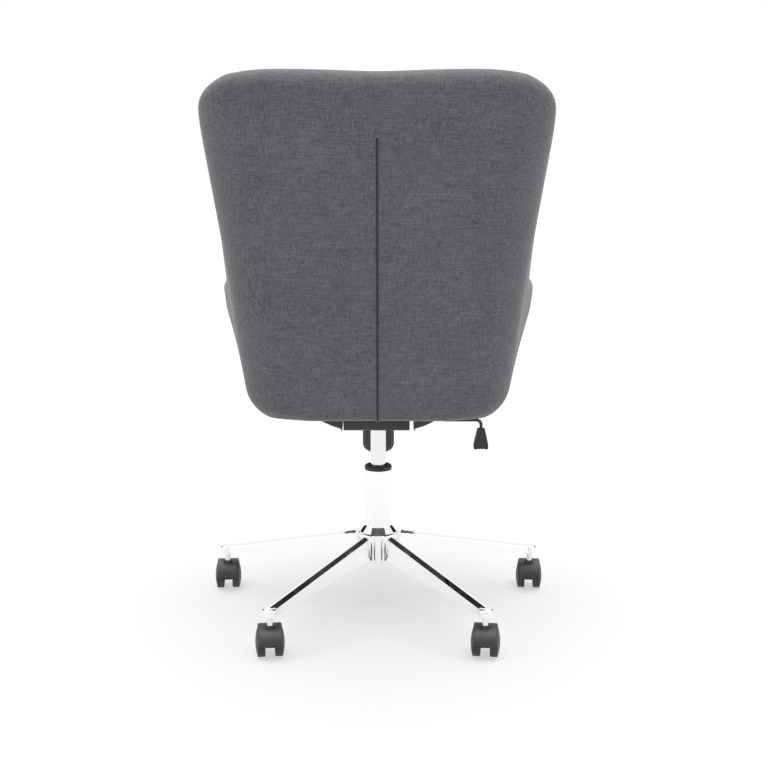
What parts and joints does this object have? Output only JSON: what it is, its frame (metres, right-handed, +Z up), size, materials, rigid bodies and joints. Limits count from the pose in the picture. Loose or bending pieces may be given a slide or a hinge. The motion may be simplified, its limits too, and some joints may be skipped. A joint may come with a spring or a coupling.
{
  "type": "swivel office chair",
  "caption": "Upholstered tub chair with a high winged back and low arms, on a tilting gas-lift column with a chromed star base and twin-wheel casters.",
  "frame": {"origin": "on the floor, on the axis of the column", "axes": "+Z up, the sitter faces -Y, the sitter's left is +X and the control lever is on the -X side"},
  "size_m": [0.6414, 0.6684, 0.9702],
  "materials": {
    "grey_fabric": "woven",
    "zip_tape": "woven",
    "under_cloth": "felted",
    "chromed_steel": "polished",
    "column_steel": "ground",
    "black_steel": "satin",
    "zinc_steel": "zinc plated",
    "black_plastic": "fine texture",
    "black_rubber": "matt",
    "plywood": "raw"
  },
  "bodies": {
    "base": {"base_hub": "chromed_steel", "leg_front": "chromed_steel", "leg_side_left": "chromed_steel", "leg_side_right": "chromed_steel", "leg_rear_left": "chromed_steel", "leg_rear_right": "chromed_steel", "stem_sockets": "black_plastic", "caster_stems": "column_steel", "outer_tube": "chromed_steel", "guide_sleeve": "black_plastic", "bearing_lower_race": "zinc_steel"},
    "rod": {"piston_rod": "column_steel", "bearing_upper_race": "zinc_steel", "rubber_buffer": "black_rubber"},
    "bearing_cage": {"bearing_cage": "zinc_steel"},
    "lift": {"pressure_tube": "column_steel", "tube_end_guide": "black_plastic", "cone_socket": "black_steel", "mechanism_body": "black_steel", "tilt_bushes": "black_plastic", "tension_spring": "zinc_steel"},
    "release": {"release_pin": "column_steel"},
    "tilt": {"seat_plate": "black_steel", "pivot_pin": "zinc_steel", "seat_bolts": "zinc_steel", "t_nuts": "zinc_steel", "seat_board": "plywood", "dust_cover": "under_cloth", "seat_cushion": "grey_fabric", "back_zip": "zip_tape", "outer_cover": "grey_fabric", "shell_frame": "plywood", "back_cushion": "grey_fabric", "arm_cushion_left": "grey_fabric", "arm_cushion_right": "grey_fabric"},
    "tension": {"tension_bolt": "zinc_steel"},
    "knob": {"tension_knob": "black_plastic"},
    "lever_pivot": {"lever_bush": "black_plastic"},
    "lever": {"lever_rod": "black_steel", "lever_paddle": "black_plastic"},
    "caster_front": {"caster_front_housing": "black_plastic", "caster_front_axle": "zinc_steel"},
    "caster_front_wheel_left": {"caster_front_wheel_left": "black_plastic"},
    "caster_front_wheel_right": {"caster_front_wheel_right": "black_plastic"},
    "caster_side_left": {"caster_side_left_housing": "black_plastic", "caster_side_left_axle": "zinc_steel"},
    "caster_side_left_wheel_left": {"caster_side_left_wheel_left": "black_plastic"},
    "caster_side_left_wheel_right": {"caster_side_left_wheel_right": "black_plastic"},
    "caster_side_right": {"caster_side_right_housing": "black_plastic", "caster_side_right_axle": "zinc_steel"},
    "caster_side_right_wheel_left": {"caster_side_right_wheel_left": "black_plastic"},
    "caster_side_right_wheel_right": {"caster_side_right_wheel_right": "black_plastic"},
    "caster_rear_left": {"caster_rear_left_housing": "black_plastic", "caster_rear_left_axle": "zinc_steel"},
    "caster_rear_left_wheel_left": {"caster_rear_left_wheel_left": "black_plastic"},
    "caster_rear_left_wheel_right": {"caster_rear_left_wheel_right": "black_plastic"},
    "caster_rear_right": {"caster_rear_right_housing": "black_plastic", "caster_rear_right_axle": "zinc_steel"},
    "caster_rear_right_wheel_left": {"caster_rear_right_wheel_left": "black_plastic"},
    "caster_rear_right_wheel_right": {"caster_rear_right_wheel_right": "black_plastic"}
  },
  "joints": [
    {"name": "seat_swivel", "type": "hinge", "parent": "base", "child": "rod", "pos_m": [0, 0, 0.1], "axis": [0, 0, 1], "continuous": true},
    {"name": "cage_turn", "type": "hinge", "parent": "base", "child": "bearing_cage", "pos_m": [0, 0, 0.0965], "axis": [0, 0, 1], "continuous": true},
    {"name": "seat_height", "type": "slide", "parent": "rod", "child": "lift", "axis": [0, 0, 1], "range_m": [-0.07, 0.03]},
    {"name": "pin_press", "type": "slide", "parent": "lift", "child": "release", "axis": [0, 0, -1], "range_m": [0, 0.0042]},
    {"name": "seat_tilt", "type": "hinge", "parent": "lift", "child": "tilt", "pos_m": [0, -0.03, 0.378], "axis": [-1, 0, 0], "range_deg": [0, 12], "stiffness_Nm_per_rad": 150, "springref_deg": -22.92, "deforming": ["tension_spring"]},
    {"name": "bolt_swing", "type": "hinge", "parent": "tilt", "child": "tension", "pos_m": [0, -0.085, 0.4023], "axis": [-1, 0, 0], "range_deg": [-13, 1]},
    {"name": "knob_turn", "type": "hinge", "parent": "tension", "child": "knob", "pos_m": [0, -0.085, 0.3], "axis": [0, 0, 1], "range_deg": [-1080, 1080]},
    {"name": "lever_lift", "type": "hinge", "parent": "lift", "child": "lever_pivot", "pos_m": [-0.05525, 0, 0.383], "axis": [0, 1, 0], "range_deg": [0, 4], "stiffness_Nm_per_rad": 2, "springref_deg": -8.59},
    {"name": "lever_pull", "type": "slide", "parent": "lever_pivot", "child": "lever", "axis": [-1, 0, 0], "range_m": [0, 0.012]},
    {"name": "caster_front_swivel", "type": "hinge", "parent": "base", "child": "caster_front", "pos_m": [0, -0.31, 0.07], "axis": [0, 0, 1], "continuous": true},
    {"name": "caster_front_wheel_left_roll", "type": "hinge", "parent": "caster_front", "child": "caster_front_wheel_left", "pos_m": [0.00052, -0.31999, 0.025], "axis": [0.9986, 0.0523, 0], "continuous": true},
    {"name": "caster_front_wheel_right_roll", "type": "hinge", "parent": "caster_front", "child": "caster_front_wheel_right", "pos_m": [0.00052, -0.31999, 0.025], "axis": [0.9986, 0.0523, 0], "continuous": true},
    {"name": "caster_side_left_swivel", "type": "hinge", "parent": "base", "child": "caster_side_left", "pos_m": [0.29483, -0.0958, 0.07], "axis": [0, 0, 1], "continuous": true},
    {"name": "caster_side_left_wheel_left_roll", "type": "hinge", "parent": "caster_side_left", "child": "caster_side_left_wheel_left", "pos_m": [0.29552, -0.10577, 0.025], "axis": [0.9976, 0.0698, 0], "continuous": true},
    {"name": "caster_side_left_wheel_right_roll", "type": "hinge", "parent": "caster_side_left", "child": "caster_side_left_wheel_right", "pos_m": [0.29552, -0.10577, 0.025], "axis": [0.9976, 0.0698, 0], "continuous": true},
    {"name": "caster_side_right_swivel", "type": "hinge", "parent": "base", "child": "caster_side_right", "pos_m": [-0.29483, -0.0958, 0.07], "axis": [0, 0, 1], "continuous": true},
    {"name": "caster_side_right_wheel_left_roll", "type": "hinge", "parent": "caster_side_right", "child": "caster_side_right_wheel_left", "pos_m": [-0.29552, -0.10577, 0.025], "axis": [0.9976, -0.0698, 0], "continuous": true},
    {"name": "caster_side_right_wheel_right_roll", "type": "hinge", "parent": "caster_side_right", "child": "caster_side_right_wheel_right", "pos_m": [-0.29552, -0.10577, 0.025], "axis": [0.9976, -0.0698, 0], "continuous": true},
    {"name": "caster_rear_left_swivel", "type": "hinge", "parent": "base", "child": "caster_rear_left", "pos_m": [0.18221, 0.25079, 0.07], "axis": [0, 0, 1], "continuous": true},
    {"name": "caster_rear_left_wheel_left_roll", "type": "hinge", "parent": "caster_rear_left", "child": "caster_rear_left_wheel_left", "pos_m": [0.18343, 0.24087, 0.025], "axis": [0.9925, 0.1219, 0], "continuous": true},
    {"name": "caster_rear_left_wheel_right_roll", "type": "hinge", "parent": "caster_rear_left", "child": "caster_rear_left_wheel_right", "pos_m": [0.18343, 0.24087, 0.025], "axis": [0.9925, 0.1219, 0], "continuous": true},
    {"name": "caster_rear_right_swivel", "type": "hinge", "parent": "base", "child": "caster_rear_right", "pos_m": [-0.18221, 0.25079, 0.07], "axis": [0, 0, 1], "continuous": true},
    {"name": "caster_rear_right_wheel_left_roll", "type": "hinge", "parent": "caster_rear_right", "child": "caster_rear_right_wheel_left", "pos_m": [-0.18343, 0.24087, 0.025], "axis": [0.9925, -0.1219, 0], "continuous": true},
    {"name": "caster_rear_right_wheel_right_roll", "type": "hinge", "parent": "caster_rear_right", "child": "caster_rear_right_wheel_right", "pos_m": [-0.18343, 0.24087, 0.025], "axis": [0.9925, -0.1219, 0], "continuous": true}
  ],
  "couplings": [
    {"joint": "cage_turn", "follows": "seat_swivel", "ratio": 0.5},
    {"joint": "pin_press", "follows": "lever_lift", "m_per_rad": 0.0573},
    {"joint": "bolt_swing", "follows": "seat_tilt", "ratio": -1}
  ]
}
